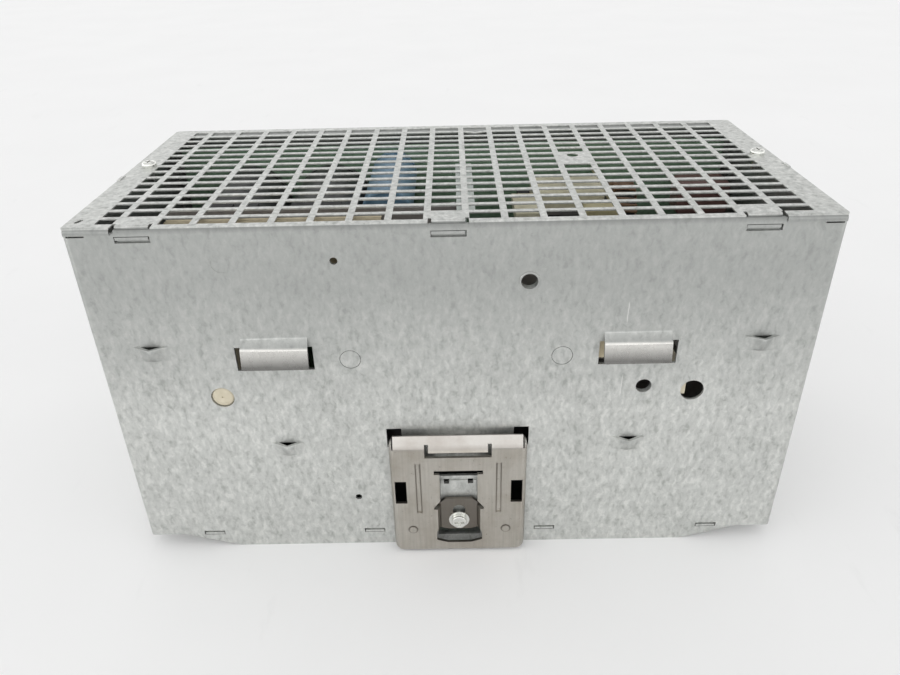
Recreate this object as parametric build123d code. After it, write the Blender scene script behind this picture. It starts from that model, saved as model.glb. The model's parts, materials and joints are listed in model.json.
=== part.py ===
from build123d import *
import os

# DIN rail power supply, in millimetres. X runs along the rail, +Y points from the rail to the front,
# +Z points up. While the parts are made, y = 0 is the outer face of the rear panel; export_node moves
# everything so that the origin is the middle of the whole object's base.

# ---- Driving dimensions ----
WIDTH = 221.6           # along the rail
HEIGHT = 124.0          # standing plane to the top grille's upper face
DEPTH = 102.0           # rear panel to front face
SHEET = 1.0             # steel sheet of the case and of the latch
TRAY_SHEET = 0.4        # thinner sheet of the perforated top tray
BELLY = 5.65            # how far the base hangs below the side walls
BELLY_FLAT = 79.0       # half length of the base's flat
BELLY_END = 98.0        # half length at which the base meets the wall height
BEND = 1.6              # outer radius of the case's vertical bends
GAP = 0.05              # running and assembly clearance
HALF = WIDTH / 2
TRAY_UNDER = HEIGHT - TRAY_SHEET

# Rail seat: a 35 mm top-hat rail between the hooks and the latch lip
RAIL = 35.0
RAIL_TOP = 83.7
RAIL_MID = RAIL_TOP - RAIL / 2

# Grille pattern
COLUMN_PITCH, COLUMN_BAR, FIRST_COLUMN_BAR, COLUMN_BARS = 11.05, 2.05, -95.95, 18
ROW_PITCH, ROW_BAR, FIRST_ROW_BAR, ROW_BARS = 6.097, 1.8, 7.65, 15
GRILLE_X = (-102.1, 101.8)
GRILLE_Y = (2.1, 98.6)
BLANK_NEAR_COLUMNS = (1, 9, 17)     # cells left solid behind the rear tabs
PAD_COLUMN, PAD_ROWS = 13, (8, 9)   # solid pad with a fixing hole
TRAY_SCREW_X, TRAY_SCREW_Y = 105.4, 56.0
LIP_SPANS = ((-HALF + 0.8, -96.9), (93.35, HALF - 0.8))     # the tray's rear corners roll down here
LIP_LOW, LIP_CENTRE = 121.9, -0.35
EAR_X, EAR_LOW = (104.5, 109.5), 121.8

# Tabs that lock the trays to the rear panel
TOP_TABS = (-91.0, -1.45, 87.45)
TOP_TAB_WIDTH, TOP_SLOT_Z, TOP_SLOT_HEIGHT = 9.6, 120.3, 2.0
TONGUE_TOP, TAB_FACE = HEIGHT - 0.75, 0.12
BASE_TABS = (-87.7, -30.2, 30.2, 87.7)
BASE_TAB_WIDTH, BASE_SLOT_Z, BASE_SLOT_HEIGHT = 7.1, 6.25, 1.8

# Rail hooks, lanced bridges and studs on the rear panel
HOOK_X, HOOK_WIDTH, HOOK_REACH, HOOK_TIP = 55.5, 20.6, 3.5, 77.5
HOOK_SHOULDER = 2.3                 # reach where the hook turns down; it leans out from there
HOOK_WINDOW = (44.1, 68.15, 75.4, 83.8)
BRIDGES = ((-93.5, 82.3), (93.5, 82.3), (-56.2, 44.3), (56.2, 44.3))
BRIDGE_HALF, BRIDGE_HEIGHT, BRIDGE_STRIP = 5.4, 4.8, 0.8
BRIDGE_FOOT, BRIDGE_RISE = 1.1, 2.5     # how far the bottom and top edges stand out
STUD_X, STUD_Z, STUD_R, STUD_RING = 32.8, 78.85, 3.3, 0.16

# Latch
LATCH_HALF, LATCH_LOW, LATCH_BEND, LATCH_FACE = 22.75, 1.15, 46.15, -4.5
LIP_TIP_Y, LIP_TIP_Z, LIP_HALF = -2.5, 50.5, 21.3
LATCH_SCREW_Z, LATCH_SLOT_WIDTH, LATCH_SLOT_TOP = 13.2, 4.4, 19.35
STRAP_FACE = -2.0
TONGUE_FOOT = (-4.44, 44.95)

# Nylon support posts behind their holes in the rear panel
POST_R, POST_HOLE_R = 4.5, 3.7
LEFT_POST, RIGHT_HOLE = (-74.7, 65.3), (74.8, 64.9)

# Front
FACE_BACK = DEPTH - 0.3 - SHEET     # inner side of the front face, behind its film
SHELF_Z = 34.0                      # underside of the shelf over the terminals
TERMINAL_WALL = 86.6                # inner side of the set-back wall round the terminals
BOARD_BACK, BOARD = 84.0, 1.6
BOARD_FRONT = BOARD_BACK + BOARD

# Terminals
PITCH = 10.0
INPUT_X, INPUT_POLES = 62.0, 3
OUTPUT_X, OUTPUT_POLES = -58.0, 4
BLOCK_LOW, BLOCK_HIGH, POLE_Z = 11.0, 31.0, 23.0
WIRE_R, WIRE_Y = 2.4, 90.4
CAGE_BACK, CAGE_LENGTH, CAGE_HALF, CAGE_WALL, CAGE_HEIGHT = 87.0, 7.8, 3.8, 1.1, 7.0
CAVITY_END = 98.3
TERMINAL_R = 2.0                    # M4 terminal screw
TRIMMER_Z = 22.0
REAR_REACH = 4.92                   # most rearward point of the latch tongue
Y_MIDDLE = (DEPTH - REAR_REACH) / 2

nodes = {}


# ---- Helpers ----
def block(x, y, z):
    """A box from three (low, high) pairs."""
    size = [high - low for low, high in (x, y, z)]
    middle = [(low + high) / 2 for low, high in (x, y, z)]
    return Pos(*middle) * Box(*size)


def across(x, half):
    """The (low, high) pair round a middle value."""
    return (x - half, x + half)


def rod_y(x, z, radius, y_low, y_high):
    return Pos(x, (y_low + y_high) / 2, z) * Rot(90, 0, 0) * Cylinder(radius, y_high - y_low)


def rod_z(x, y, radius, z_low, z_high):
    return Pos(x, y, (z_low + z_high) / 2) * Cylinder(radius, z_high - z_low)


def panel(sketch, y_low, y_high):
    """A sketch in X and Z, made solid between two values of y."""
    plane = Plane(origin=(0, y_high, 0), x_dir=(1, 0, 0), z_dir=(0, -1, 0))
    return extrude(plane * sketch, amount=y_high - y_low)


def section(sketch, x_low, x_high):
    """A sketch in Y and Z, made solid between two values of x."""
    plane = Plane(origin=(x_low, 0, 0), x_dir=(0, 1, 0), z_dir=(1, 0, 0))
    return extrude(plane * sketch, amount=x_high - x_low)


def slab(sketch, z_low, z_high):
    """A sketch in X and Y, made solid between two values of z."""
    return extrude(Pos(0, 0, z_low) * sketch, amount=z_high - z_low)


def bent_sheet(points, radius, thickness=SHEET):
    """The edge of a bent sheet, drawn about its middle line."""
    return trace(FilletPolyline(*points, radius=radius), line_width=thickness)


def shape(*points):
    """A filled outline that faces +Z whichever way round its points are given."""
    pairs = zip(points, points[1:] + points[:1])
    twice_area = sum(x0 * y1 - x1 * y0 for (x0, y0), (x1, y1) in pairs)
    return Polygon(*(points if twice_area > 0 else reversed(points)), align=None)


def mirrored(solid):
    return solid + solid.mirror(Plane.YZ)


def rounded_block(x, y, z, radius):
    body = block(x, y, z)
    return fillet(body.edges(), radius)


def group(solids):
    return Compound(children=list(solids))


def pan_screw(head_r, head_h, shank_r, length):
    """A pan-head screw pointing down, with its head's underside at z = 0 and a cross recess."""
    head = Pos(0, 0, head_h / 2) * Cylinder(head_r, head_h)
    head = fillet(head.edges().group_by(Axis.Z)[-1], head_h * 0.55)
    screw = head + Pos(0, 0, -length / 2) * Cylinder(shank_r, length)
    for angle in (0, 90):
        slot = Rot(0, 0, angle) * Box(head_r * 1.1, head_r * 0.22, head_h * 0.9)
        screw -= Pos(0, 0, head_h) * slot
    return screw


# ---- Case ----
def base_outline(top, half=HALF):
    """Outline in X and Z of the rear panel and of the wall round the terminals."""
    return shape(
        (-half, BELLY), (-BELLY_END, BELLY), (-BELLY_FLAT, 0), (BELLY_FLAT, 0),
        (BELLY_END, BELLY), (half, BELLY), (half, top), (-half, top),
    )


def bridge(x, z):
    """A strip lanced free along its top and bottom and pushed out to a ridge, further at the top."""
    sections = []
    for height, rise in ((z - BRIDGE_HEIGHT / 2, BRIDGE_FOOT), (z + BRIDGE_HEIGHT / 2, BRIDGE_RISE)):
        roof = shape(
            (-6, SHEET), (-6, 0), (-BRIDGE_HALF, 0), (0, -rise), (BRIDGE_HALF, 0), (6, 0),
            (6, SHEET), (BRIDGE_HALF - 0.6, SHEET), (0, BRIDGE_STRIP - rise),
            (0.6 - BRIDGE_HALF, SHEET),
        )
        sections.append(Pos(x, 0, height) * roof)
    return loft(sections, ruled=True)


def rail_hook(side):
    """A tongue that leaves the panel above its window and curls out and down over the rail."""
    half = SHEET / 2
    path = ((half, 89), (half, 86.7), (half - HOOK_SHOULDER, 84.0), (half - HOOK_REACH, HOOK_TIP))
    x = side * HOOK_X
    return section(bent_sheet(path, 1.6), x - HOOK_WIDTH / 2, x + HOOK_WIDTH / 2)


def screw_lugs(z):
    """Lugs bent in from both side walls, with tapped holes for a tray's screws."""
    lug = block((TRAY_SCREW_X - 2.8, HALF - SHEET / 2), across(TRAY_SCREW_Y, 6), (z, z + SHEET))
    lug -= rod_z(TRAY_SCREW_X, TRAY_SCREW_Y, 1.55, z - 1, z + 2)
    return mirrored(lug)


def make_rear_housing():
    outer = Pos(0, DEPTH / 2) * Rectangle(WIDTH, DEPTH)
    outer = fillet(outer.vertices().group_by(Axis.Y)[0], BEND)
    inner = Pos(0, DEPTH / 2 + SHEET) * Rectangle(WIDTH - 2 * SHEET, DEPTH)
    inner = fillet(inner.vertices().group_by(Axis.Y)[0], BEND - SHEET)
    case = slab(outer - inner, 0, HEIGHT)
    outline = panel(base_outline(TRAY_UNDER), -1, SHEET)
    for low, high in LIP_SPANS:
        outline -= block((low - 0.1, high + 1), (-1, SHEET), (LIP_LOW + 0.4, HEIGHT))
    ear_in, ear_out = EAR_X
    outline -= mirrored(block((ear_in - 0.1, ear_out + 0.1), (-1, SHEET), (EAR_LOW - 0.6, HEIGHT)))
    case &= outline + block((-HALF, HALF), (SHEET, DEPTH), (BELLY, TRAY_UNDER))

    for x in TOP_TABS:
        case -= block(across(x, 5.85), (-1, SHEET), (TONGUE_TOP, HEIGHT))
        case -= block(across(x, 5.1), (-1, 2), across(TOP_SLOT_Z, TOP_SLOT_HEIGHT / 2))
    for x in BASE_TABS:
        case -= block(across(x, 3.65), (-1, 2), across(BASE_SLOT_Z, BASE_SLOT_HEIGHT / 2))

    window_in, window_out, window_low, window_high = HOOK_WINDOW
    window = block((window_in, window_out), (-1, 2), (window_low, window_high))
    case -= mirrored(window)
    case += rail_hook(-1) + rail_hook(1)

    for x, z in BRIDGES:
        case -= block(across(x, BRIDGE_HALF), (-1, 2), across(z, BRIDGE_HEIGHT / 2))
        case += bridge(x, z)

    # Plain holes: two pilot holes, two holes over the support posts, two stud holes
    for x, z, radius in (
        (-34.7, 112.5, 1.15), (-34.7, 22.15, 1.15),
        (*LEFT_POST, POST_HOLE_R), (*RIGHT_HOLE, POST_HOLE_R),
        (-STUD_X, STUD_Z, STUD_R), (STUD_X, STUD_Z, STUD_R),
    ):
        case -= rod_y(x, z, radius, -1, 2)
    case -= rod_y(-67.4, 112.2, 2.8, -1, 0.12)

    # Drawn holes with a collar inside: one proud of the panel, one flush
    collar = rod_y(21.9, 104.8, 3.1, -0.3, 2.4)
    case += fillet(collar.edges().group_by(Axis.Y)[0], 0.25)
    case -= rod_y(21.9, 104.8, 2.5, -1, 3)
    case += rod_y(59.2, 66.9, 3.2, 0, 2.0)
    case -= rod_y(59.2, 66.9, 2.5, -1, 3)

    case = cut_latch_openings(case)
    return case + screw_lugs(TRAY_UNDER - SHEET) + screw_lugs(BELLY + SHEET)


def cut_latch_openings(case):
    """The panel behind the latch: corner openings, a sloping tab, guide slots and the screw's pad."""
    case -= block((-23.4, 23.4), (-1, 2), (44, 51.55))
    tab = bent_sheet(((SHEET / 2, 53), (SHEET / 2, 51.3), (2.4, 44.5)), 0.8)
    case += section(tab, -18.5, 18.5)
    case -= mirrored(block((17.0, 22.4), (-1, 2), (18, 37)))
    case -= block((-8.6, 8.6), (-1, 2), (31.0, 34.6))
    case -= block((-7.5, 7.5), (-1, 2), (3.6, 8.9))
    case += block((-6.2, 6.2), (-0.5, SHEET), (9, 29.4))
    for x in (-4.1, 4.1):
        case -= block(across(x, 0.9), (-2, 2), (27.9, 29.6))
    case += rod_y(0, LATCH_SCREW_Z, 3.0, 0, 2.6)
    return case - rod_y(0, LATCH_SCREW_Z, 1.5 + GAP, -2, 4)


def column_spans():
    bars = [FIRST_COLUMN_BAR + COLUMN_PITCH * i for i in range(COLUMN_BARS)]
    lows = [GRILLE_X[0]] + [bar + COLUMN_BAR / 2 for bar in bars]
    highs = [bar - COLUMN_BAR / 2 for bar in bars] + [GRILLE_X[1]]
    return list(zip(lows, highs))


def row_spans(last=GRILLE_Y[1]):
    bars = [FIRST_ROW_BAR + ROW_PITCH * j for j in range(ROW_BARS)]
    lows = [GRILLE_Y[0]] + [bar + ROW_BAR / 2 for bar in bars]
    highs = [bar - ROW_BAR / 2 for bar in bars] + [GRILLE_Y[1]]
    return [(low, high) for low, high in zip(lows, highs) if high <= last]


def cell(column, row):
    (x_low, x_high), (y_low, y_high) = column, row
    middle = Pos((x_low + x_high) / 2, (y_low + y_high) / 2)
    return middle * Rectangle(x_high - x_low, y_high - y_low)


def make_top_grille():
    overhang = 0.12
    plate = Pos(0, (DEPTH - overhang) / 2) * Rectangle(WIDTH, DEPTH + overhang)
    plate = fillet(plate.vertices(), BEND)
    holes = []
    for i, column in enumerate(column_spans()):
        for j, row in enumerate(row_spans()):
            solid_tab = j == 0 and i in BLANK_NEAR_COLUMNS
            solid_pad = i == PAD_COLUMN and j in PAD_ROWS
            if not (solid_tab or solid_pad):
                holes.append(cell(column, row))
    plate = plate - holes
    pad_x = sum(column_spans()[PAD_COLUMN]) / 2
    plate -= Pos(pad_x, sum(row_spans()[PAD_ROWS[1]]) / 2) * Circle(2.0)
    for x in (-TRAY_SCREW_X, TRAY_SCREW_X):
        plate -= Pos(x, TRAY_SCREW_Y) * Circle(1.7)
    plate -= Pos(-107.6, 5.5) * Rot(0, 0, 66) * SlotOverall(3.0, 1.2)
    # A knock has pushed one bar of the front row into a V
    x_low, x_high = column_spans()[10]
    bar_y = FIRST_ROW_BAR + ROW_PITCH * (ROW_BARS - 1)
    bar, tip = ROW_BAR / 2, 1.9
    middle = (x_low + x_high) / 2
    plate -= cell((x_low, x_high), (bar_y - bar, bar_y + bar))
    plate += shape(
        (x_low, bar_y - bar), (middle, bar_y - bar - tip), (x_high, bar_y - bar),
        (x_high, bar_y + bar), (middle, bar_y + bar - tip), (x_low, bar_y + bar),
    )
    for x in TOP_TABS:
        plate -= cell(across(x, 5.85), (-1, SHEET + GAP))
        plate -= cell(across(x, TOP_TAB_WIDTH / 2), (-1, 2 * SHEET))
        for side in (-1, 1):
            notch = TOP_TAB_WIDTH / 2 + 0.5
            plate -= Pos(x + side * notch, 1.5) * Rectangle(1.0, 3.0)
    for span in LIP_SPANS:
        plate -= cell(span, (-1, 1.3))
    grille = slab(plate, TRAY_UNDER, HEIGHT)
    slot_low, slot_high = across(TOP_SLOT_Z, TOP_SLOT_HEIGHT / 2)
    for x in TOP_TABS:
        tab = block(across(x, TOP_TAB_WIDTH / 2), (SHEET + GAP, 2 * SHEET + GAP), (118.6, HEIGHT))
        bend = tab.edges().filter_by(Axis.X).group_by(Axis.Z)[-1].sort_by(Axis.Y)[0]
        grille += fillet(bend, 0.8)
        tip_z = (slot_low + 0.8, slot_high - 0.25)
        grille += block((x - 4.95, x + 4.6), (TAB_FACE, SHEET + GAP), tip_z)
    # Rolled rear corners that hang over the panel, with ears in the panel's notches
    middle = HEIGHT - TRAY_SHEET / 2
    roll = bent_sheet(((3, middle), (LIP_CENTRE, middle), (LIP_CENTRE, LIP_LOW)), 1.2, TRAY_SHEET)
    for span in LIP_SPANS:
        grille += section(roll, *span)
    grille += mirrored(block(EAR_X, (LIP_CENTRE, 0.6), (EAR_LOW, LIP_LOW + 0.3)))
    # A small raised tab on each side rim, with a slit beside it
    grille += mirrored(block((HALF - 0.9, HALF), (41, 45), (TRAY_UNDER, HEIGHT + 0.35)))
    return grille - mirrored(block((HALF - 1.2, HALF + 1), (45, 45.7), (TRAY_UNDER - 1, HEIGHT + 1)))


def belly_z(x):
    """Height of the base's underside at x."""
    return BELLY * min(max(abs(x) - BELLY_FLAT, 0) / (BELLY_END - BELLY_FLAT), 1)


def make_bottom_grille():
    inside = HALF - SHEET - 0.1
    outline = ((-inside, BELLY), (-BELLY_END, BELLY), (-BELLY_FLAT, 0), (BELLY_FLAT, 0),
               (BELLY_END, BELLY), (inside, BELLY))
    upper = tuple((x, z + SHEET) for x, z in reversed(outline))
    tray = panel(shape(*outline, *upper), SHEET + GAP, TERMINAL_WALL - GAP)
    holes = [
        cell(column, row)
        for column in column_spans()
        for row in row_spans(TERMINAL_WALL - 3)[1:]
        if max(abs(column[0]), abs(column[1])) < BELLY_FLAT
    ]
    tray -= slab(Sketch() + holes, -1, SHEET + 1)
    for x in (-TRAY_SCREW_X, TRAY_SCREW_X):
        tray -= rod_z(x, TRAY_SCREW_Y, 1.7, BELLY - 1, BELLY + 2)
    for x in BASE_TABS:
        foot = belly_z(x) + SHEET / 2
        tab_y = (SHEET + GAP, 2 * SHEET + GAP)
        tray += block(across(x, BASE_TAB_WIDTH / 2), tab_y, (foot, BASE_SLOT_Z + 2.4))
        slot_low = BASE_SLOT_Z - BASE_SLOT_HEIGHT / 2
        tray += block(across(x, 3.3), (TAB_FACE, SHEET + GAP), (slot_low + 0.1, slot_low + 0.95))
    return tray


def block_half(poles):
    return (poles * PITCH + 2) / 2


def make_front_cover():
    """One sheet: top flange, front face, shelf over the terminals, and the wall round them."""
    half = HALF - SHEET - 0.1
    face, wall = FACE_BACK + SHEET / 2, TERMINAL_WALL + SHEET / 2
    top, shelf = TRAY_UNDER - SHEET / 2 - GAP, SHELF_Z + SHEET / 2
    path = ((94, top), (face, top), (face, shelf), (wall, shelf), (wall, 12))
    cover = section(bent_sheet(path, 1.0), -half, half)
    cover += panel(base_outline(20, half), TERMINAL_WALL, TERMINAL_WALL + SHEET)
    flange = block((half - SHEET, half), (90, FACE_BACK + 0.2), (SHELF_Z + 1, top - 1))
    for z in (45, 110):
        flange -= Pos(half, 96, z) * Rot(0, 90, 0) * Cylinder(1.55, 6)
    cover += mirrored(flange)
    for x, poles in ((INPUT_X, INPUT_POLES), (OUTPUT_X, OUTPUT_POLES)):
        opening = across(x, block_half(poles) + 0.2)
        cover -= block(opening, (86, 88), (BLOCK_LOW - 0.2, BLOCK_HIGH + 0.2))
    cover -= block(across(0, 5.0), (86, 88), across(TRIMMER_Z, 5.0))
    cover -= rod_y(18, TRIMMER_Z, 1.7, 86, 88)
    for x, z in PILLARS:
        cover -= rod_y(x, z, 1.6, FACE_BACK - 1, DEPTH)
    return cover


def make_overlay():
    """Plain film on the front face, with rounded corners."""
    film = RectangleRounded(200, 78, 4)
    return panel(Pos(0, 79) * film, FACE_BACK + SHEET, DEPTH)


def side_screw(side, z):
    """Countersunk screw, flush with the side wall."""
    head = Pos(side * (HALF - 0.5), 96, z) * Rot(0, side * 90, 0) * Cone(1.55, 2.6, 0.98)
    shank = Pos(side * (HALF - 3.5), 96, z) * Rot(0, 90, 0) * Cylinder(1.5, 5.2)
    return head + shank


def side_seat(side, z):
    return Pos(side * (HALF - 0.5), 96, z) * Rot(0, side * 90, 0) * Cone(1.6, 2.7, 1.02)


def tray_screws(z, turn):
    screw = Rot(turn, 0, 0) * pan_screw(2.45, 1.8, 1.5, 5.0)
    return group([Pos(x, TRAY_SCREW_Y, z) * screw for x in (-TRAY_SCREW_X, TRAY_SCREW_X)])


# ---- Latch ----
def make_latch_plate():
    middle = LATCH_FACE + SHEET / 2
    edge = LATCH_HALF - SHEET / 2
    corner = 3.5
    channel = trace(
        FilletPolyline((-edge, -0.4), (-edge, middle), (edge, middle), (edge, -0.4), radius=1.2),
        line_width=SHEET,
    )
    plate = slab(channel, LATCH_LOW, 49.6)
    outline = Pos(0, (LATCH_LOW + 49.6) / 2) * Rectangle(2 * LATCH_HALF, 49.6 - LATCH_LOW)
    outline = fillet(outline.vertices(), corner)
    plate &= panel(outline, -6, 1)
    plate -= block((-21.75, 21.75), (-6, 1), (LATCH_BEND, 50))
    plate -= mirrored(block((21, 24), (-3.4, 1), (0, 5)))

    # Lip that leans in over the rail, with a tongue cut free in the same plane
    lip = bent_sheet(((middle, 44), (middle, LATCH_BEND), (LIP_TIP_Y, LIP_TIP_Z)), 1.0)
    plate += section(lip, -LIP_HALF, LIP_HALF)
    plate -= block((-11.05, 11.05), (-6, 1), (42.65, 47.9))
    slope = (LIP_TIP_Y - TONGUE_FOOT[0]) / (LIP_TIP_Z - TONGUE_FOOT[1])
    tongue_top = (TONGUE_FOOT[0] + slope * 3.6, TONGUE_FOOT[1] + 3.6)
    tongue = trace(Line(TONGUE_FOOT, tongue_top), line_width=SHEET)
    plate += section(tongue, -9.75, 9.75)

    # Middle opening with a cross slot above it, flared slits and a dished foot
    opening = shape(
        (-6.35, 35.45), (-6.35, 23.6), (-8.5, 20.8), (-8.5, 19.9), (-7.5, 19.9), (-7.5, 10.2),
        (-7.9, 8.8), (-7.9, 5.6), (-4, 4.3), (4, 4.3), (7.9, 5.6), (7.9, 8.8), (7.5, 10.2),
        (7.5, 19.9), (8.5, 19.9), (8.5, 20.8), (6.35, 23.6), (6.35, 35.45),
    )
    plate -= panel(opening, -6, 0)
    plate -= block((-8.2, 8.2), (-6, 0), (35.45, 37.05))
    plate += make_strap()

    # Side windows, each with a lug that goes through the panel and up behind it
    window = block((17.6, 21.5), (-6, 0), (22.95, 32.65))
    plate -= mirrored(window)
    lug = bent_sheet(((middle, 36), (middle, 33.1), (1.8, 33.1), (1.8, 41.5)), 1.2)
    plate += mirrored(section(lug, 17.9, 21.2))

    for side in (-1, 1):
        plate -= rod_z(side * 13.5, LATCH_FACE - 0.45, 1.0, 18.55, 40.15)
        coin = rod_y(side * 16.1, 10.75, 1.45, LATCH_FACE - 0.35, LATCH_FACE + 0.3)
        plate += fillet(coin.edges().group_by(Axis.Y)[0], 0.2)
    return plate


def make_strap():
    """Recessed strap under the clamp screw, joined to the plate by two sloping walls."""
    back = STRAP_FACE + SHEET
    floor = shape(
        (-4.6, 22.4), (4.6, 22.4), (6.9, 20.3), (6.9, 9.4), (4, 8.4), (-4, 8.4),
        (-6.9, 9.4), (-6.9, 20.3),
    )
    low = LATCH_SCREW_Z - 2.4
    slot = Pos(0, (low + LATCH_SLOT_TOP) / 2) * Rot(0, 0, 90)
    slot *= SlotOverall(LATCH_SLOT_TOP - low, LATCH_SLOT_WIDTH)
    strap = panel(floor - slot, STRAP_FACE, back)
    wall = shape((6.2, back), (7.0, back), (8.2, LATCH_FACE + SHEET), (8.2, LATCH_FACE),
                 (7.3, LATCH_FACE), (6.2, STRAP_FACE))
    return strap + mirrored(slab(wall, 10.0, 19.9))


def make_latch_screw():
    """Cheese-head screw with a cross recess; its collar turns in the panel's drawn hole."""
    head = rod_y(0, LATCH_SCREW_Z, 2.6, -4.2, -2.7)
    head = fillet(head.edges().group_by(Axis.Y)[0], 0.35)
    screw = head + rod_y(0, LATCH_SCREW_Z, 1.5, -2.7, 5.0)
    for angle in (0, 90):
        bar = Rot(0, angle, 0) * Box(3.4, 1.4, 0.8)
        screw -= Pos(0, -4.2, LATCH_SCREW_Z) * bar
    return screw


# ---- Inside ----
PILLARS = [(x, z) for x in (-98.0, 0.0, 98.0) for z in (46.0, 96.0)]


def make_board():
    board = block((-104, 104), (BOARD_BACK, BOARD_FRONT), (9, 121.4))
    for x, z in PILLARS:
        board -= rod_y(x, z, 1.6, BOARD_BACK - 1, BOARD_FRONT + 1)
    return board


def pillar(x, z):
    hexagon = Pos(x, z) * RegularPolygon(3.0, 6)
    return panel(hexagon, BOARD_FRONT, FACE_BACK) - rod_y(x, z, 1.6, BOARD_FRONT - 1, DEPTH)


def board_screw(x, z):
    return Pos(x, BOARD_BACK, z) * Rot(90, 0, 0) * pan_screw(2.8, 1.7, 1.5, 6.0)


def can_capacitor(x, z, radius, length):
    """Electrolytic capacitor lying on the board, with a rolled groove and a scored end."""
    tip = BOARD_BACK - length
    can = rod_y(x, z, radius, tip, BOARD_BACK)
    can = fillet(can.edges(), radius * 0.08)
    groove = rod_y(x, z, radius + 1, BOARD_BACK - 5, BOARD_BACK - 3.6)
    can -= groove - rod_y(x, z, radius - 0.7, BOARD_BACK - 6, BOARD_BACK)
    can -= rod_y(x, z, radius * 0.86, tip - 1, tip + 0.3)
    for angle in (45, 135):
        score = Rot(0, angle, 0) * Box(radius * 1.2, 1.0, 0.5)
        can -= Pos(x, tip + 0.3, z) * score
    return can


def make_transformer():
    """Taped winding in a flat ferrite frame, on a foot, with a taped lead-out beside it."""
    frame_z = (94, 108)
    ring = block((24, 56.5), (43.5, 72), frame_z) - block((28, 53), (49, 67), (93, 109))
    coil = rounded_block((28.2, 52.8), (49.2, 66.8), (87, 115), 1.8)
    foot = block((29, 52), (66, BOARD_BACK), (87.5, 93.8))
    lead_out = block((20.5, 29.5), (34, 53), (109, 112.5))
    nodes["transformer_core"] = ring
    nodes["transformer_winding"] = coil + foot + lead_out


def ring_about_x(x, y, z, outer_r, inner_r, width):
    ring = Cylinder(outer_r, width) - Cylinder(inner_r, width + 1)
    return Pos(x, y, z) * Rot(0, 90, 0) * ring


def wound_ring(name, x, y, z, outer_r, inner_r, width, wire):
    """A toroid core and the wire wound round it."""
    core = ring_about_x(x, y, z, outer_r, inner_r, width)
    coil = ring_about_x(x, y, z, outer_r + wire, inner_r - wire, width + 2 * wire)
    coil -= ring_about_x(x, y, z, outer_r + GAP, inner_r - GAP, width + 2 * GAP)
    coil += block(across(x, width / 2 - 1), (y + outer_r + 0.5, BOARD_BACK), across(z, 3))
    nodes[name + "_core"] = core
    nodes[name + "_winding"] = coil


def make_heatsinks():
    bar = block((-90, 2), (24.5, 28), (72, 119))
    bar += block((-90, 2), (28, 34), (72, 75))
    nodes["primary_heatsink"] = bar
    plate = block((20, 96), (30, 33.5), (20, 58))
    for i in range(8):
        x = 24 + 9.5 * i
        plate += block((x, x + 1.6), (33.4, 44), (20, 58))
    plate += block((12, 34), (30, 33.5), (57, 93))
    nodes["secondary_heatsink"] = plate
    transistors, screws = [], []
    face, screw_z = 32.55, 116.0
    for x in (-74.5, -66.4, -47.8, -39.7):
        body = block(across(x, 3.8), (28.05, face), (102, 118.5))
        legs = block(across(x, 3.0), (30, 30.8), (92, 102.5))
        transistors.append(body + legs - rod_y(x, screw_z, 1.7, 27, face + 1))
        screws.append(Pos(x, face, screw_z) * Rot(-90, 0, 0) * pan_screw(2.4, 1.5, 1.5, 4.4))
    nodes["power_transistors"] = group(transistors)
    nodes["heatsink_screws"] = group(screws)


def make_left_post():
    """Moulded post from the board, with a domed nose that fills its hole in the panel."""
    x, z = LEFT_POST
    nose = rod_y(x, z, POST_HOLE_R - 0.12, 0.25, 2)
    nose = fillet(nose.edges().group_by(Axis.Y)[0], 0.8)
    post = nose + rod_y(x, z, POST_R, SHEET + GAP, BOARD_BACK)
    return post - Pos(x, 0.15, z) * Sphere(0.45)


def make_x_capacitor():
    body = rounded_block((43.5, 55.6), (33.5, 42.6), (100, 113.5), 0.8)
    for z in (110, 112.5):
        body += rod_y(54.6, z, 0.4, 42, BOARD_BACK)
    return body


def make_film_capacitor():
    body = rounded_block((82, 101), (61, 73), (99.5, 112), 2.0)
    for x in (85.5, 97.5):
        body += rod_y(x, 106, 0.5, 72, BOARD_BACK)
    return body


def make_insulating_sheet():
    """Paper strip along the top of the rear panel, and a flap behind the right hook window."""
    path = ((9.8, 92), (9.8, 122.2), (7.0, 122.2))
    strip = section(bent_sheet(path, 0.5, 0.4), -84, -21)
    return group([strip, block((41, 49), (1.6, 2.0), (76.9, 92))])


def make_barrier():
    wall = block((3.5, 4.0), (15, 60), (80, 121))
    return wall + block((1.0, 6.6), (15, 60), (121, 121.5))


# ---- Terminals and controls ----
def pole_positions():
    places = []
    for middle, poles in ((INPUT_X, INPUT_POLES), (OUTPUT_X, OUTPUT_POLES)):
        places += [middle + PITCH * (i - (poles - 1) / 2) for i in range(poles)]
    return places


def make_terminal_block(middle, poles):
    half = block_half(poles)
    body = block(across(middle, half), (BOARD_FRONT, DEPTH), (BLOCK_LOW, BLOCK_HIGH))
    body = fillet(body.edges().filter_by(Axis.Z).group_by(Axis.Y)[-1], 0.8)
    for x in [p for p in pole_positions() if abs(p - middle) < half]:
        body -= block(across(x, 4.1), (BOARD_FRONT - 1, CAVITY_END), across(POLE_Z, 4))
        body -= block(across(x, 2.7), (BOARD_FRONT - 1, 93.6), (POLE_Z + 3.9, 29.2))
        body -= rod_y(x, POLE_Z, TERMINAL_R + 0.2, CAVITY_END - 1, DEPTH)
        body -= rod_y(x, POLE_Z, 3.3, CAVITY_END + SHEET, DEPTH + 1)
        body -= rod_z(x, WIRE_Y, WIRE_R, BLOCK_LOW - 1, POLE_Z - 3.9)
    return body


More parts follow.
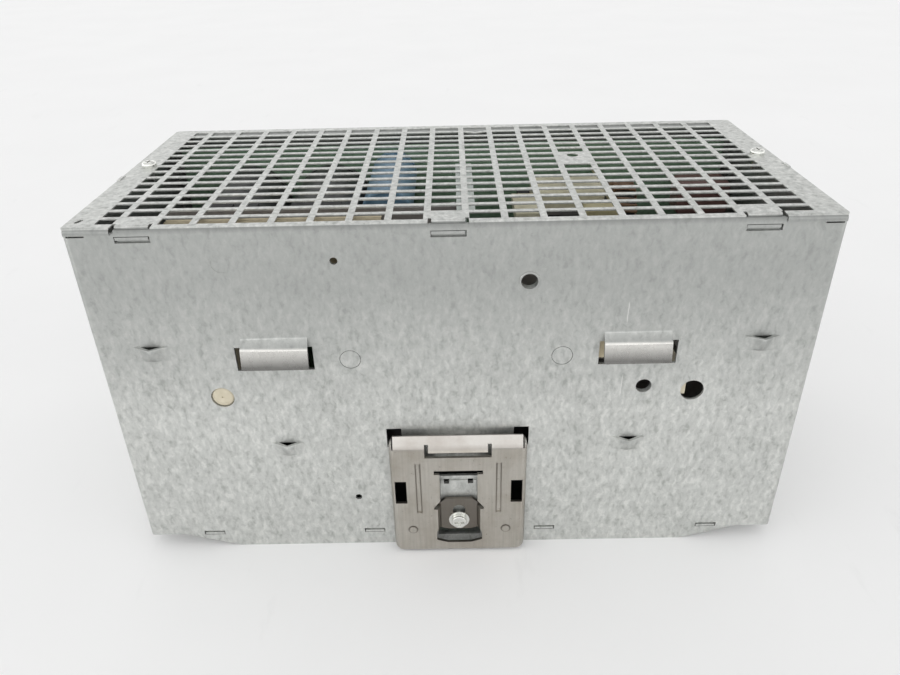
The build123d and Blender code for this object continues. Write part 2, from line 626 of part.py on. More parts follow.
def terminal_screw(x):
    head = rod_y(x, POLE_Z, 2.9, 99.4, 101.6)
    head = fillet(head.edges().group_by(Axis.Y)[-1], 0.4)
    screw = head + rod_y(x, POLE_Z, TERMINAL_R, 93.6, 99.4)
    for angle in (45, 135):
        screw -= Pos(x, 101.6, POLE_Z) * Rot(0, angle, 0) * Box(4.2, 2.0, 0.9)
    return screw


def clamp_cage(x):
    """Frame that the screw draws forward to grip the wire against its contact bar."""
    y = (CAGE_BACK, CAGE_BACK + CAGE_LENGTH)
    inner = (y[0] + CAGE_WALL, y[1] - CAGE_WALL)
    cage = block(across(x, CAGE_HALF), y, across(POLE_Z, CAGE_HEIGHT / 2))
    cage -= block(across(x, CAGE_HALF - CAGE_WALL), inner, across(POLE_Z, CAGE_HEIGHT))
    return cage - rod_y(x, POLE_Z, TERMINAL_R + GAP, inner[1] - 1, y[1] + 1)


def contact_bar(x):
    bar = block(across(x, 2.3), (92.4, 93.3), (19.4, 29.0))
    return bar + block(across(x, 2.3), (BOARD_FRONT, 93.3), (28.1, 29.0))


def make_trimmer():
    body = block(across(0, 4.75), (BOARD_FRONT, 90.0), across(TRIMMER_Z, 4.75))
    nodes["trimmer_body"] = body - rod_y(0, TRIMMER_Z, 3.1, 88.0, 91)
    rotor = rod_y(0, TRIMMER_Z, 3.0, 88.05, 90.9)
    rotor -= Pos(0, 90.9, TRIMMER_Z) * Box(4.6, 2.0, 0.9)
    nodes["trimmer_rotor"] = rotor - Pos(0, 90.9, TRIMMER_Z + 1.2) * Box(0.9, 2.0, 2.4)


def make_led():
    body = rod_y(18, TRIMMER_Z, 1.5, BOARD_FRONT, 90.2)
    return fillet(body.edges().group_by(Axis.Y)[-1], 1.4)


# ---- Assembly ----
def build():
    housing = make_rear_housing()
    for side in (-1, 1):
        for z in (45, 110):
            housing -= side_seat(side, z)
    nodes["rear_housing"] = housing
    nodes["front_cover"] = make_front_cover()
    nodes["front_overlay"] = make_overlay()
    nodes["front_cover_screws"] = group([side_screw(s, z) for s in (-1, 1) for z in (45, 110)])
    nodes["top_grille"] = make_top_grille()
    nodes["bottom_grille"] = make_bottom_grille()
    nodes["top_grille_screws"] = tray_screws(HEIGHT + 0.02, 0)
    nodes["bottom_grille_screws"] = tray_screws(BELLY - 0.02, 180)

    studs, nuts = [], []
    for x in (-STUD_X, STUD_X):
        studs.append(rod_y(x, STUD_Z, STUD_R - STUD_RING, 0.03, 1.0) + rod_y(x, STUD_Z, 2.0, 0.9, 8.0))
        nut = panel(Pos(x, STUD_Z) * RegularPolygon(4.0, 6), 2.6, 5.8)
        nuts.append(nut - rod_y(x, STUD_Z, 2.0 + GAP, 2, 7))
    nodes["clinch_studs"] = group(studs)
    nodes["stud_nuts"] = group(nuts)
    plate = block((-40, 40), (1.05, 2.55), (71, 87))
    for x in (-STUD_X, STUD_X):
        plate -= rod_y(x, STUD_Z, 2.2, 1, 3)
    nodes["backing_plate"] = plate

    nodes["latch_plate"] = make_latch_plate()
    nodes["latch_screw"] = make_latch_screw()
    washer = rod_y(0, LATCH_SCREW_Z, 3.55, -2.65, -2.05)
    nodes["latch_washer"] = washer - rod_y(0, LATCH_SCREW_Z, 1.5 + GAP, -3, 0)

    nodes["main_board"] = make_board()
    nodes["board_pillars"] = group([pillar(x, z) for x, z in PILLARS])
    nodes["board_screws"] = group([board_screw(x, z) for x, z in PILLARS])
    nodes["insulating_sheet"] = make_insulating_sheet()
    nodes["barrier_strip"] = make_barrier()
    nodes["left_post"] = make_left_post()
    nodes["right_post"] = block((64, 72.95), (1.2, BOARD_BACK), (62.8, 69.5))

    nodes["blue_capacitor"] = can_capacitor(-22.4, 111, 8.6, 44.5)
    nodes["bulk_capacitor_1"] = can_capacitor(-78, 100, 15, 44)
    nodes["bulk_capacitor_2"] = can_capacitor(-46, 100, 15, 44)
    nodes["output_capacitor_1"] = can_capacitor(60, 80, 8, 32)
    nodes["output_capacitor_2"] = can_capacitor(80, 80, 8, 32)
    make_transformer()
    wound_ring("choke", 61.5, 62, 103, 9, 5, 6, 1.5)
    wound_ring("line_filter", -40, 68, 40, 12, 7, 10, 2.0)
    nodes["film_capacitor"] = make_film_capacitor()
    nodes["x_capacitor"] = make_x_capacitor()
    make_heatsinks()
    nodes["control_board"] = block((6.5, 8.1), (48, BOARD_BACK), (18, 60))
    nodes["fuse"] = rod_z(-20, 79, 2.6, 20, 40)

    nodes["input_terminal_block"] = make_terminal_block(INPUT_X, INPUT_POLES)
    nodes["output_terminal_block"] = make_terminal_block(OUTPUT_X, OUTPUT_POLES)
    for number, x in enumerate(pole_positions(), 1):
        nodes[f"terminal_screw_{number}"] = terminal_screw(x)
        nodes[f"clamp_cage_{number}"] = clamp_cage(x)
    nodes["contact_bars"] = group([contact_bar(x) for x in pole_positions()])
    make_trimmer()
    nodes["status_led"] = make_led()


def export_node(name, solid):
    export_step(Pos(0, -Y_MIDDLE, 0) * solid, os.path.join("parts", name + ".step"))


os.makedirs("parts", exist_ok=True)
build()
for node_name, node_solid in nodes.items():
    export_node(node_name, node_solid)
print(len(nodes), "nodes; y middle", Y_MIDDLE, "rail middle height", RAIL_MID)
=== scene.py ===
import bpy
import json
import math
from mathutils import Matrix, Vector


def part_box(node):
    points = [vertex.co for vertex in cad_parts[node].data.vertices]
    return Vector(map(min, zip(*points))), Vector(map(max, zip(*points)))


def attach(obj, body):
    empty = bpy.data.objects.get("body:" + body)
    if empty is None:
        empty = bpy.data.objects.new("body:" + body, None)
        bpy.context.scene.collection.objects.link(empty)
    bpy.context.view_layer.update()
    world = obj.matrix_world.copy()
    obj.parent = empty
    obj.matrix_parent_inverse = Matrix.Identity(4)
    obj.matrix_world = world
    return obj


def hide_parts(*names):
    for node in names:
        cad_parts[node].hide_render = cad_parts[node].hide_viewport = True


# DIN rail power supply seen from behind, standing on a pale floor. Metres, in the CAD model's frame:
# X runs along the rail, +Y points from the rear panel to the front, +Z points up.

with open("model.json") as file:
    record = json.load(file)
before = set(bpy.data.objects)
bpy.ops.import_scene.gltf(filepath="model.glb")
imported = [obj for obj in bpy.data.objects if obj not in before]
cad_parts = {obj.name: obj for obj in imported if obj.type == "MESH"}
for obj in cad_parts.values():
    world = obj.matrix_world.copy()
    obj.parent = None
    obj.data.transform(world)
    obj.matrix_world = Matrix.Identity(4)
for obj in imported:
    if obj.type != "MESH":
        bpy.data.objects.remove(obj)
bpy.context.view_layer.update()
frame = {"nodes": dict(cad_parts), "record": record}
MM = 0.001


# ---- Places taken from the frame ----
CASE_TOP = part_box("rear_housing")[1].z          # the tray lies on it
board_low, board_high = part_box("main_board")
BOARD_DEPTH = 84.0 * MM                         # rear panel's outer face to the board
PANEL_Y = board_low.y - BOARD_DEPTH

HOOK_SHADE_LOW, HOOK_SHADE_HIGH = 77.5 * MM, 83.2 * MM      # painted shade: the hooks' faces darken downwards
HOOK_REACH = (70 * MM, 72 * MM)     # the hooks' painted highlight and shade, and their gloss, fade out here, short of the upper bridges
# Two light scratches down the rear panel: x, lower end, upper end
SCRATCHES = ((51.7 * MM, 89.6 * MM, 97.6 * MM), (52.1 * MM, 62.6 * MM, 71.6 * MM))

LATCH_FACE = PANEL_Y - 4.5 * MM     # outer face of the latch
LATCH_BEND = 46.15 * MM             # height at which its lip leans in
# On each side of the latch, a groove, whose long edges get painted shade: distance from the middle, half
# width, lower end, upper end
GROOVE = (13.5 * MM, 0.8 * MM, 18.8 * MM, 39.9 * MM)
# and a stamped coin, whose rim gets painted shade: distance from the middle, height, radius
COIN = (16.1 * MM, 10.75 * MM, 1.5 * MM)


# ---- Node helpers ----
RANGE_SOCKETS = ("From Min", "From Max", "To Min", "To Max")


class Recipe:
    """A material with one Principled shader, and the nodes that feed it."""

    def __init__(self, name):
        self.material = bpy.data.materials.new(name)
        self.material.use_nodes = True
        self.tree = self.material.node_tree
        self.shader = self.tree.nodes["Principled BSDF"]
        self.coords = self.tree.nodes.new("ShaderNodeTexCoord").outputs["Object"]

    def add(self, kind, settings=None, **inputs):
        """A node, with its properties from settings and its sockets from inputs."""
        node = self.tree.nodes.new("ShaderNode" + kind)
        for key, value in (settings or {}).items():
            setattr(node, key, value)
        for key, value in inputs.items():
            self.set(node.inputs[key.replace("_", " ")], value)
        return node

    def set(self, socket, value):
        if isinstance(value, bpy.types.NodeSocket):
            self.tree.links.new(value, socket)
        else:
            socket.default_value = value

    def finish(self, **inputs):
        for key, value in inputs.items():
            self.set(self.shader.inputs[key.replace("_", " ")], value)
        return self.material

    def math(self, operation, first, second=0.0):
        node = self.add("Math", {"operation": operation})
        self.set(node.inputs[0], first)
        self.set(node.inputs[1], second)
        return node.outputs[0]

    def place(self, axis):
        """The surface point's own X, Y or Z, in metres."""
        return self.add("SeparateXYZ", Vector=self.coords).outputs[axis]

    def mapped(self, scale, turn=(0, 0, 0), vector=None):
        node = self.add("Mapping", Vector=vector or self.coords, Scale=scale, Rotation=turn)
        return node.outputs["Vector"]

    def noise(self, scale, detail=3.0, roughness=0.5, vector=None):
        node = self.add("TexNoise", Vector=vector or self.coords, Scale=scale, Detail=detail,
                        Roughness=roughness)
        return node.outputs["Fac"]

    def cells(self, scale, vector):
        """A random colour for each cell."""
        return self.add("TexVoronoi", Vector=vector, Scale=scale).outputs["Color"]

    def ramp(self, factor, *stops):
        """A colour ramp from (position, colour) stops."""
        node = self.add("ValToRGB", Fac=factor)
        bands = node.color_ramp.elements
        while len(bands) < len(stops):
            bands.new(0.5)
        for band, (position, colour) in zip(bands, stops):
            band.position = position
            band.color = (*colour, 1)
        return node.outputs["Color"]

    def spread(self, value, low, high, from_low=0.0, from_high=1.0):
        """Low where value is from_low, high where it is from_high, and even between them."""
        node = self.add("MapRange", Value=value)
        for key, limit in zip(RANGE_SOCKETS, (from_low, from_high, low, high)):
            node.inputs[key].default_value = limit
        return node.outputs["Result"]

    def mix(self, factor, first, second, blend="MIX"):
        node = self.add("Mix", {"data_type": "RGBA", "blend_type": blend})
        self.set(node.inputs["Factor"], factor)
        self.set(node.inputs["A"], first if not isinstance(first, tuple) else (*first, 1))
        self.set(node.inputs["B"], second if not isinstance(second, tuple) else (*second, 1))
        return node.outputs["Result"]

    def bump(self, height, strength, distance):
        node = self.add("Bump", Height=height, Strength=strength, Distance=distance)
        return node.outputs["Normal"]


def grey(value):
    return (value, value, value)


# ---- Metals ----
def scratch_mask(r, x, low, high):
    """A thin upright line that wanders a little, and fades at both ends."""
    wander = 0.6 * MM
    drift = r.math("MULTIPLY", r.noise(160.0, 2.0), wander)
    away = r.math("ABSOLUTE", r.math("SUBTRACT", r.math("ADD", r.place("X"), drift), x + wander / 2))
    line = r.spread(away, 0.55, 0, 0.05 * MM, 0.22 * MM)
    from_middle = r.math("ABSOLUTE", r.math("SUBTRACT", r.place("Z"), (low + high) / 2))
    length = r.spread(from_middle, 1, 0, (high - low) * 0.36, (high - low) * 0.5)
    return r.math("MULTIPLY", line, length)


def spangle(r):
    """Coordinates bent by noise, diagonal smears on them, and zinc crystals added to the smears."""
    wobble = r.add("VectorMath", {"operation": "MULTIPLY_ADD"})
    noise = r.add("TexNoise", Vector=r.coords, Scale=420.0, Detail=3.0)
    r.set(wobble.inputs[0], noise.outputs["Color"])
    r.set(wobble.inputs[1], (2.2 * MM, 2.2 * MM, 2.2 * MM))
    r.set(wobble.inputs[2], r.coords)
    bent = wobble.outputs["Vector"]
    rising = r.mapped((1, 1, 0.4), (0, math.radians(50), 0), bent)
    falling = r.mapped((1, 1, 0.4), (0, math.radians(-42), 0), bent)
    smears = r.math("ADD", r.noise(760.0, 3.0, 0.55, rising), r.noise(560.0, 3.0, 0.55, falling))
    crystal = r.add("SeparateColor", Color=r.cells(620.0, bent)).outputs["Red"]
    pattern = r.math("MULTIPLY_ADD", crystal, 0.16)
    r.set(pattern.node.inputs[2], smears)
    return bent, smears, pattern


def zinc_coat(r, bent, pattern):
    """Greys of the crystals, with fine dark grains and broad cloudy patches."""
    colour = r.ramp(r.spread(pattern, 0, 1, 0.74, 1.36), (0.0, (0.40, 0.41, 0.39)),
                    (0.4, (0.54, 0.55, 0.53)), (0.7, (0.60, 0.61, 0.587)),
                    (1.0, (0.69, 0.695, 0.67)))
    grains = r.spread(r.noise(1900.0, 2.0, 0.6, bent), 0, 0.4, 0.60, 0.74)
    colour = r.mix(grains, colour, (0.36, 0.365, 0.35))
    broad = r.ramp(r.noise(24.0, 3.0), (0.3, grey(0.88)), (0.7, grey(1.0)))
    return r.mix(0.6, colour, broad, "MULTIPLY")


def shade_under_tray(r, colour):
    """Painted shade below the tray: the sheet darkens upwards, and a painted shadow of the tray's edge
    lies just under it.
    """
    height = r.place("Z")
    uneven = r.math("ADD", height, r.math("MULTIPLY", r.noise(90.0, 3.0), 12 * MM))
    below_tray = r.spread(height, 1, 0, CASE_TOP, CASE_TOP + 0.05 * MM)
    upwards = r.spread(uneven, 0, 0.66, 0.52 * CASE_TOP, 0.90 * CASE_TOP)
    # painted shade, darker upwards towards the tray
    colour = r.mix(r.math("MULTIPLY", upwards, below_tray), colour, (0.30, 0.31, 0.30))
    # painted shadow of the tray's overhanging edge
    line = r.spread(height, 0, 1, CASE_TOP - 1.9 * MM, CASE_TOP - 0.5 * MM)
    tray_edge_shadow = r.math("MULTIPLY", r.math("MULTIPLY", line, below_tray), 0.45)
    return r.mix(tray_edge_shadow, colour, (0.16, 0.165, 0.16))


def shade_pressings(r, colour):
    """Painted shade on whatever stands proud, and on the hooks a painted highlight above and painted
    shade below, bright to dark down their faces.
    """
    depth, height = r.place("Y"), r.place("Z")
    proud = r.spread(depth, 1, 0, PANEL_Y - 1.6 * MM, PANEL_Y - 0.2 * MM)
    # painted shade: parts standing proud of the panel are darker
    colour = r.mix(r.math("MULTIPLY", proud, 0.30), colour, (0.20, 0.205, 0.20))
    hook_shade_mask = r.spread(height, 1, 0, HOOK_SHADE_LOW + MM, HOOK_SHADE_HIGH)
    # painted highlight at the top of each hook's face, painted shade at its foot
    face = r.mix(hook_shade_mask, (0.64, 0.63, 0.60), (0.17, 0.168, 0.16))
    fine = r.noise(700.0, 2.0, 0.5, r.mapped((0.15, 1, 1)))
    face = r.mix(r.spread(fine, 0, 0.25, 0.3, 0.7), face, (0.36, 0.355, 0.34))
    furthest_out = r.spread(depth, 1, 0, PANEL_Y - 2.3 * MM, PANEL_Y - 1.9 * MM)
    above_latch = r.spread(height, 0, 1, HOOK_SHADE_LOW - 2 * MM, HOOK_SHADE_LOW - MM)
    inside_bridges = r.spread(r.math("ABSOLUTE", r.place("X")), 1, 0, *HOOK_REACH)
    on_hook = r.math("MULTIPLY", r.math("MULTIPLY", furthest_out, above_latch), inside_bridges)
    return r.mix(on_hook, colour, face), on_hook


def galvanised():
    """Zinc-coated sheet: crystals in short diagonal smears, with painted shade and a painted highlight
    on the hooks, and two scratches.
    """
    r = Recipe("galvanised")
    bent, smears, pattern = spangle(r)
    colour, on_hook = shade_pressings(r, shade_under_tray(r, zinc_coat(r, bent, pattern)))
    for x, low, high in SCRATCHES:
        colour = r.mix(scratch_mask(r, x, low, high), colour, (0.80, 0.80, 0.78))
    dull = r.spread(pattern, 0.50, 0.36, 0.7, 1.4)
    return r.finish(Base_Color=colour, Metallic=r.spread(on_hook, 0.72, 0.95),
                    Roughness=r.math("SUBTRACT", dull, r.math("MULTIPLY", on_hook, 0.14)),
                    Normal=r.bump(smears, 0.10, 0.3 * MM))


def coin_rim_shade(r, x, z, radius, width):
    """A soft ring on each side of the latch's face, for painted shade round the edge of a stamped coin.
    """
    across = r.math("SUBTRACT", r.math("ABSOLUTE", r.place("X")), x)
    up = r.math("SUBTRACT", r.place("Z"), z)
    squares = r.math("ADD", r.math("MULTIPLY", across, across), r.math("MULTIPLY", up, up))
    away = r.math("ABSOLUTE", r.math("SUBTRACT", r.math("SQRT", squares), radius))
    return r.spread(away, 0.75, 0, 0, width)


def groove_edge_shade(r, x, half, low, high):
    """Painted shade along the two long edges of a pressed groove on each side of the latch's face."""
    across = r.math("ABSOLUTE", r.math("SUBTRACT", r.math("ABSOLUTE", r.place("X")), x))
    edge = r.spread(r.math("ABSOLUTE", r.math("SUBTRACT", across, half)), 0.6, 0, 0, 0.4 * MM)
    from_middle = r.math("ABSOLUTE", r.math("SUBTRACT", r.place("Z"), (low + high) / 2))
    reach = (high - low) / 2
    return r.math("MULTIPLY", edge, r.spread(from_middle, 1, 0, reach, reach + MM))


def stainless():
    """Spring steel, brushed along Z, with brown stains and small dark specks; painted shade in its
    recess, at its lip's foot and round its grooves and coins, and a painted highlight on its lip.
    """
    r = Recipe("stainless")
    brush = r.noise(1500.0, 3.0, 0.6, r.mapped((1, 1, 0.03)))
    cloud = r.noise(75.0, 5.0, 0.65)
    specks = r.noise(900.0, 2.0)
    depth, height = r.place("Y"), r.place("Z")
    colour = r.mix(r.spread(brush, 0, 1, 0.2, 0.8), (0.42, 0.40, 0.36), (0.54, 0.515, 0.47))
    colour = r.mix(r.spread(cloud, 0, 0.6, 0.42, 0.78), colour, (0.30, 0.26, 0.21))
    colour = r.mix(r.spread(specks, 0, 0.55, 0.66, 0.80), colour, (0.15, 0.13, 0.11))
    recess = r.spread(depth, 0, 0.72, LATCH_FACE + 0.8 * MM, LATCH_FACE + 2.2 * MM)
    lip = r.spread(height, 0, 1, LATCH_BEND - 0.6 * MM, LATCH_BEND + 0.2 * MM)
    recess_shade = r.math("MULTIPLY", recess, r.math("SUBTRACT", 1.0, lip))
    # painted shade in the latch's recess below the lip
    colour = r.mix(recess_shade, colour, (0.085, 0.072, 0.06))
    # painted highlight on the lip, with real brown stains in it
    lip_highlight_and_stains = r.mix(r.spread(cloud, 0, 0.5, 0.45, 0.7), (0.56, 0.54, 0.51), (0.36, 0.32, 0.285))
    # painted shade at the foot of the lip, where it bends
    lip_foot_shade = r.spread(height, 0.45, 0, LATCH_BEND, LATCH_BEND + 1.6 * MM)
    colour = r.mix(lip, colour, r.mix(lip_foot_shade, lip_highlight_and_stains, (0.26, 0.235, 0.21)))
    # painted shade along the grooves' long edges
    colour = r.mix(groove_edge_shade(r, *GROOVE), colour, (0.14, 0.125, 0.11))
    # painted shade round the coins' rims
    colour = r.mix(coin_rim_shade(r, *COIN, 0.42 * MM), colour, (0.07, 0.06, 0.05))
    return r.finish(Base_Color=colour, Metallic=1.0, Roughness=r.spread(brush, 0.28, 0.42),
                    Normal=r.bump(brush, 0.06, 0.2 * MM))


def zinc():
    """Bright zinc plate on screws and small turned parts."""
    r = Recipe("zinc")
    fine = r.noise(900.0, 3.0)
    colour = r.mix(fine, (0.62, 0.63, 0.60), (0.88, 0.88, 0.84))
    return r.finish(Base_Color=colour, Metallic=1.0, Roughness=r.spread(fine, 0.16, 0.34),
                    Normal=r.bump(fine, 0.08, 0.1 * MM))


def plain_part(name, dark, light, roughness):
    """A moulded, cast or printed surface: mottled colour, uneven gloss and a fine grain."""
    r = Recipe(name)
    fine = r.noise(500.0, 4.0)
    broad = r.noise(60.0, 3.0)
    blend = r.math("MULTIPLY", fine, r.spread(broad, 0.6, 1.6))
    colour = r.mix(r.spread(blend, 0, 1, 0.2, 0.9), dark, light)
    return r.finish(Base_Color=colour, Roughness=r.spread(fine, roughness - 0.08, roughness + 0.1),
                    Normal=r.bump(fine, 0.1, 0.2 * MM))


# ---- Materials, one for each of the record's slots ----
# Darkest colour, lightest colour, roughness
PLAIN = {
    "film": ((0.055, 0.065, 0.075), (0.085, 0.095, 0.105), 0.5),
    "cream_paper": ((0.50, 0.42, 0.28), (0.70, 0.62, 0.44), 0.7),
    "nylon": ((0.47, 0.42, 0.31), (0.62, 0.57, 0.45), 0.45),
    "clear_film": ((0.40, 0.45, 0.42), (0.62, 0.68, 0.64), 0.3),
    "board_green": ((0.15, 0.25, 0.16), (0.24, 0.37, 0.25), 0.4),
    "blue_sleeve": ((0.12, 0.23, 0.34), (0.19, 0.32, 0.43), 0.35),
    "black_sleeve": ((0.03, 0.03, 0.03), (0.06, 0.06, 0.06), 0.35),
    "ferrite": ((0.02, 0.02, 0.022), (0.05, 0.05, 0.052), 0.55),
    "tape": ((0.58, 0.54, 0.38), (0.76, 0.72, 0.54), 0.4),
    "copper_wire": ((0.13, 0.075, 0.04), (0.30, 0.19, 0.11), 0.3),
    "red_brown": ((0.13, 0.072, 0.065), (0.20, 0.11, 0.10), 0.3),
    "yellow_box": ((0.40, 0.35, 0.19), (0.55, 0.50, 0.30), 0.4),
    "aluminium": ((0.22, 0.20, 0.19), (0.33, 0.31, 0.29), 0.4),
    "black_epoxy": ((0.012, 0.012, 0.013), (0.03, 0.03, 0.031), 0.5),
    "terminal_grey": ((0.10, 0.13, 0.12), (0.16, 0.19, 0.18), 0.5),
    "cage_metal": ((0.45, 0.40, 0.28), (0.65, 0.60, 0.45), 0.3),
    "trimmer_blue": ((0.02, 0.07, 0.24), (0.05, 0.12, 0.34), 0.4),
    "white_plastic": ((0.66, 0.66, 0.62), (0.80, 0.80, 0.76), 0.45),
    "led_green": ((0.05, 0.40, 0.08), (0.12, 0.60, 0.16), 0.15),
}
MATERIALS = {"galvanised": galvanised(), "stainless": stainless(), "zinc_screw": zinc()}
for slot_name, look in PLAIN.items():
    MATERIALS[slot_name] = plain_part(slot_name, *look)

for subpart in frame["record"]["subparts"]:
    mesh = frame["nodes"][subpart["node"]].data
    mesh.materials.clear()
    mesh.materials.append(MATERIALS[subpart["material_slot"]])


def soften_edges(node, width):
    """A narrow bevel, so that the cut edges of the sheet catch the light."""
    obj = frame["nodes"][node]
    weld = obj.modifiers.new("weld", "WELD")
    weld.merge_threshold = 0.001 * MM
    bevel = obj.modifiers.new("edges", "BEVEL")
    bevel.width = width
    bevel.segments = 2
    bevel.limit_method = "ANGLE"
    bevel.angle_limit = math.radians(50)
    bevel.harden_normals = True


for sheet_node in ("rear_housing", "top_grille", "latch_plate"):
    soften_edges(sheet_node, 0.13 * MM)


# ---- New pieces ----
def add_piece(name, vertices, faces, material, replaces=None):
    """A smooth-shaded mesh on the case, in place of a CAD node where replaces names one."""
    mesh = bpy.data.meshes.new(name)
    mesh.from_pydata(vertices, [], faces)
    mesh.materials.append(material)
    for face in mesh.polygons:
        face.use_smooth = True
    piece = bpy.data.objects.new(name, mesh)
    bpy.context.scene.collection.objects.link(piece)
    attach(piece, "case")
    if replaces:
        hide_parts(replaces)


def grid_faces(rows, columns, first=0, closed=False):
    """Quads over rows of vertices; closed joins the last column to the first."""
    faces = []
    for i in range(rows - 1):
        for j in range(columns if closed else columns - 1):
            k = (j + 1) % columns
            row, above = first + i * columns, first + (i + 1) * columns
            faces.append((row + j, row + k, above + k, above + j))
    return faces


def make_liner():
    """Dark insulating foil that hangs in gentle waves between the lower panel and the parts."""
    columns, rows = 61, 13
    half, low, high = board_high.x - 2 * MM, 8.0 * MM, 56.0 * MM
    outer_y, foil = PANEL_Y + 8.8 * MM, 0.3 * MM
    wave_height, across, upwards = 0.25 * MM, 140, 90      # the waves are in radians a metre
    sides = []
    for thickness in (0.0, foil):
        for i in range(rows):
            z = low + (high - low) * i / (rows - 1)
            for j in range(columns):
                x = -half + 2 * half * j / (columns - 1)
                wave = wave_height * math.sin(x * across) * math.cos(z * upwards)
                sides.append((x, outer_y + wave + thickness, z))
    count = rows * columns
    faces = grid_faces(rows, columns) + [
        tuple(reversed(face)) for face in grid_faces(rows, columns, count)
    ]
    rim = list(range(columns))
    rim += [i * columns + columns - 1 for i in range(1, rows)]
    rim += [(rows - 1) * columns + j for j in reversed(range(columns - 1))]
    rim += [i * columns for i in reversed(range(1, rows - 1))]
    for first, second in zip(rim, rim[1:] + rim[:1]):
        faces.append((second, first, first + count, second + count))
    dark_foil = plain_part("dark_foil", (0.010, 0.010, 0.011), (0.022, 0.022, 0.023), 0.45)
    add_piece("insulating_liner", sides, faces, dark_foil)


def winding_path(low, high, wire):
    """The middle line of a wire wound round a ring about X, in turns of a rounded square section."""
    turns, steps = 26, 24
    start, arc = 0.42 * math.pi, 1.84 * math.pi     # the winding leaves a gap in the ring
    squareness = 0.8                                # 0 is a round turn, 1 a square one
    centre = (low + high) / 2
    outer = (high.z - low.z) / 2
    inner = outer * 5 / 9                           # the ring is 18 mm across and its hole 10 mm
    middle, swing = (outer + inner) / 2, (outer - inner) / 2 + wire
    half = (high.x - low.x) / 2 + wire
    path = []
    for i in range(turns * steps + 1):
        along = arc * i / (turns * steps) - start
        angle = 2 * math.pi * i / steps
        square = max(abs(math.cos(angle)), abs(math.sin(angle))) ** squareness
        radius = middle + swing * math.cos(angle) / square
        offset = half * math.sin(angle) / square
        path.append(centre + Vector((offset, radius * math.cos(along), radius * math.sin(along))))
    return path


def wire_mesh(path, centre, wire):
    """Vertices and faces of a round wire along a path that winds about centre."""
    around = 8
    vertices = []
    for i, point in enumerate(path):
        ahead = path[min(i + 1, len(path) - 1)] - path[max(i - 1, 0)]
        side = ahead.cross(point - centre).normalized()
        up = side.cross(ahead).normalized()
        for j in range(around):
            turn = 2 * math.pi * j / around
            vertices.append(point + wire * (side * math.cos(turn) + up * math.sin(turn)))
    faces = grid_faces(len(path), around, closed=True)
    faces.append(tuple(reversed(range(around))))
    faces.append(tuple(range(len(vertices) - around, len(vertices))))
    return vertices, faces


def foot_mesh(low, high, first):
    """Glued foot from the turns to the board, with its long edges cut off; first is its first vertex."""
    centre = (low + high) / 2
    half_x, half_z, cut = (high.x - low.x) / 2 - MM, 3 * MM, 0.6 * MM
    section = [(half_x, half_z - cut), (half_x - cut, half_z), (cut - half_x, half_z),
               (-half_x, half_z - cut), (-half_x, cut - half_z), (cut - half_x, -half_z),
               (half_x - cut, -half_z), (half_x, cut - half_z)]
    top = centre.y + (high.z - low.z) / 2 + 0.5 * MM
    vertices = []
    for y in (top, board_low.y):
        vertices += [Vector((centre.x + x, y, centre.z + z)) for x, z in section]
    corners = len(section)
    faces = grid_faces(2, corners, first, closed=True)
    faces.append(tuple(reversed(range(first, first + corners))))
    faces.append(tuple(range(first + corners, first + 2 * corners)))
    return vertices, faces


def make_choke_turns():
    """Enamelled wire wound round the choke's ring, one turn beside the next, and its foot."""
    low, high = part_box("choke_core")
    wire = 0.62 * MM                                # radius
    vertices, faces = wire_mesh(winding_path(low, high, wire), (low + high) / 2, wire)
    foot_vertices, foot_faces = foot_mesh(low, high, len(vertices))
    add_piece("choke_turns", vertices + foot_vertices, faces + foot_faces, MATERIALS["copper_wire"],
              replaces="choke_winding")


make_liner()
make_choke_turns()


# ---- Floor, light and camera ----
def make_floor():
    """Pale floor with long faint scuffs."""
    half = 3.0
    mesh = bpy.data.meshes.new("floor")
    corners = [(-half, -half, 0), (half, -half, 0), (half, half, 0), (-half, half, 0)]
    mesh.from_pydata(corners, [], [(0, 1, 2, 3)])
    floor = bpy.data.objects.new("floor", mesh)
    bpy.context.scene.collection.objects.link(floor)
    r = Recipe("floor")
    faint = r.mix(r.noise(9.0, 4.0), grey(0.86), grey(0.90))
    scuffs = r.noise(55.0, 6.0, 0.7, r.mapped((1, 0.25, 1), (0, 0, math.radians(25))))
    faint = r.mix(r.spread(scuffs, 0, 0.25, 0.62, 0.75), faint, grey(0.72))
    mesh.materials.append(r.finish(Base_Color=faint, Roughness=0.75, Specular_IOR_Level=0.15))


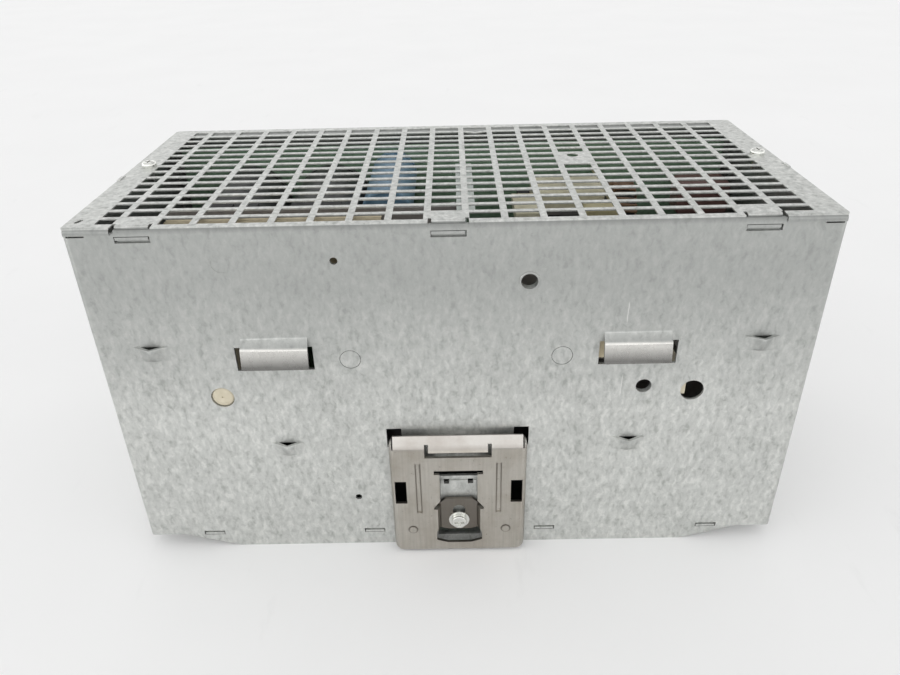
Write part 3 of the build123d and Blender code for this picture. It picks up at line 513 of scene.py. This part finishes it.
def make_world():
    """A pale room: bright low down, dimmer overhead, beyond the object and to the right."""
    world = bpy.data.worlds.new("studio")
    bpy.context.scene.world = world
    world.use_nodes = True
    tree = world.node_tree
    direction = tree.nodes.new("ShaderNodeTexCoord").outputs["Generated"]
    parts = tree.nodes.new("ShaderNodeSeparateXYZ")
    tree.links.new(direction, parts.inputs[0])
    strength = None
    # For each axis: two directions along it, and the brightness at each
    for axis, limits in (
        ("Z", (0.18, 0.72, 1.75, 0.72)), ("Y", (-0.6, 0.8, 1.08, 0.76)), ("X", (-0.9, 0.9, 1.15, 0.85)),
    ):
        glow = tree.nodes.new("ShaderNodeMapRange")
        for key, limit in zip(RANGE_SOCKETS, limits):
            glow.inputs[key].default_value = limit
        tree.links.new(parts.outputs[axis], glow.inputs["Value"])
        if strength is None:
            strength = glow.outputs["Result"]
            continue
        product = tree.nodes.new("ShaderNodeMath")
        product.operation = "MULTIPLY"
        tree.links.new(strength, product.inputs[0])
        tree.links.new(glow.outputs["Result"], product.inputs[1])
        strength = product.outputs[0]
    background = tree.nodes["Background"]
    background.inputs["Color"].default_value = (1, 1, 1, 1)
    tree.links.new(strength, background.inputs["Strength"])


def make_overhead_sun():
    """Weak light from almost straight above, whose wide disc gives soft shadows."""
    elevation, disc = math.radians(80), math.radians(80)
    data = bpy.data.lights.new("overhead", "SUN")
    data.energy = 0.40
    data.angle = disc
    lamp = bpy.data.objects.new("overhead", data)
    bpy.context.scene.collection.objects.link(lamp)
    lamp.rotation_euler = (math.pi / 2 - elevation, 0, 0)


def make_camera():
    """Close behind the object, looking down at it, tilted a little to one side."""
    data = bpy.data.cameras.new("camera")
    data.lens = 28.92
    data.sensor_width = 36.0
    data.shift_y = -0.0328
    camera = bpy.data.objects.new("camera", data)
    bpy.context.scene.collection.objects.link(camera)
    place = (0.08 * MM, -237.00 * MM, 200.35 * MM)
    pitch, heading, roll = (math.radians(angle) for angle in (28.88, 0.49, -1.34))
    camera.matrix_world = (
        Matrix.Translation(place)
        @ Matrix.Rotation(heading, 4, "Z")
        @ Matrix.Rotation(math.pi / 2 - pitch, 4, "X")
        @ Matrix.Rotation(roll, 4, "Z")
    )
    bpy.context.scene.camera = camera


make_floor()
make_world()
make_overhead_sun()
make_camera()
bpy.context.scene.view_settings.view_transform = "Standard"
